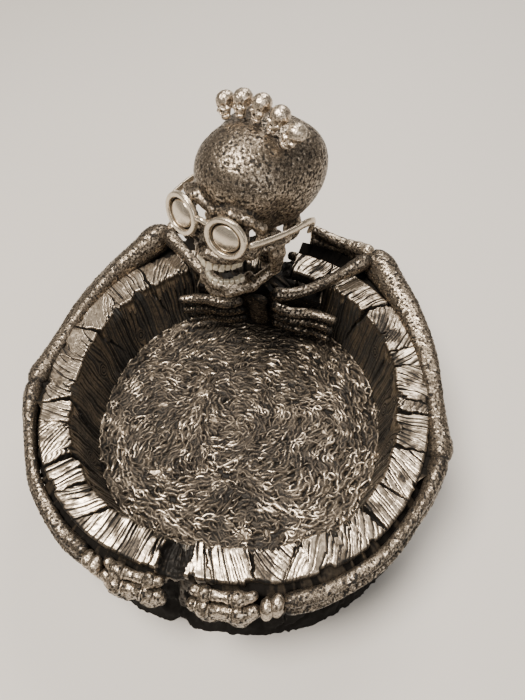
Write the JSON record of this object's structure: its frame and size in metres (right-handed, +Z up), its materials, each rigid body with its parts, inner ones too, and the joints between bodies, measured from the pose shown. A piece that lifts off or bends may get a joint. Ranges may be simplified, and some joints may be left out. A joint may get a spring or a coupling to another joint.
{
  "type": "skeleton ashtray",
  "caption": "Tree-stump ashtray bowl hugged by a skeleton: arms wrap the rim, hands meet at the cigarette rest, and a skull in round spectacles looks up from the back.",
  "frame": {"origin": "on the ground under the middle of the bowl", "axes": "+Z up, -Y towards the hands and the cigarette rest, +X the skeleton's left"},
  "size_m": [0.1398, 0.1407, 0.1169],
  "materials": {
    "stump": "cold-cast resin stump with antique silver rubbed over black; bright wood grain on the rim, near-black in the cracks",
    "silver_bone": "cold-cast resin bone, pitted, antique silver with black in the pits",
    "dark_bone": "cold-cast resin, mostly black patina with silver only on the ridges",
    "tooth": "smooth pale silver, slightly yellow",
    "satin_silver": "smooth satin antique silver with dark edges"
  },
  "bodies": {
    "root": {"back_rib_1_left": "silver_bone", "back_rib_1_right": "silver_bone", "back_rib_2_left": "silver_bone", "back_rib_2_right": "silver_bone", "back_rib_3_left": "silver_bone", "back_rib_3_right": "silver_bone", "carpus_left": "silver_bone", "carpus_right": "silver_bone", "chest_core": "dark_bone", "clavicle_left": "silver_bone", "clavicle_right": "silver_bone", "crest_skull_1": "silver_bone", "crest_skull_2": "silver_bone", "crest_skull_3": "silver_bone", "crest_skull_4": "silver_bone", "crest_skull_5": "silver_bone", "front_rib_1_left": "dark_bone", "front_rib_1_right": "dark_bone", "front_rib_2_left": "dark_bone", "front_rib_2_right": "dark_bone", "front_rib_3_left": "dark_bone", "front_rib_3_right": "dark_bone", "humerus_left": "silver_bone", "humerus_right": "silver_bone", "index_finger_left": "silver_bone", "index_finger_right": "silver_bone", "jaw": "silver_bone", "little_finger_left": "silver_bone", "little_finger_right": "silver_bone", "lower_teeth": "tooth", "middle_finger_left": "silver_bone", "middle_finger_right": "silver_bone", "neck_vertebra_1": "dark_bone", "neck_vertebra_2": "dark_bone", "neck_vertebra_3": "dark_bone", "neck_vertebra_4": "dark_bone", "radius_left": "silver_bone", "radius_right": "silver_bone", "ring_finger_left": "silver_bone", "ring_finger_right": "silver_bone", "scapula_left": "silver_bone", "scapula_right": "silver_bone", "skull": "silver_bone", "spectacle_frame": "satin_silver", "spectacle_lens_left": "satin_silver", "spectacle_lens_right": "satin_silver", "spectacle_temple_left": "satin_silver", "spectacle_temple_right": "satin_silver", "spine": "silver_bone", "sternum": "dark_bone", "stump_bowl": "stump", "thumb_left": "silver_bone", "thumb_right": "silver_bone", "ulna_left": "silver_bone", "ulna_right": "silver_bone", "upper_teeth": "tooth"}
  },
  "joints": []
}
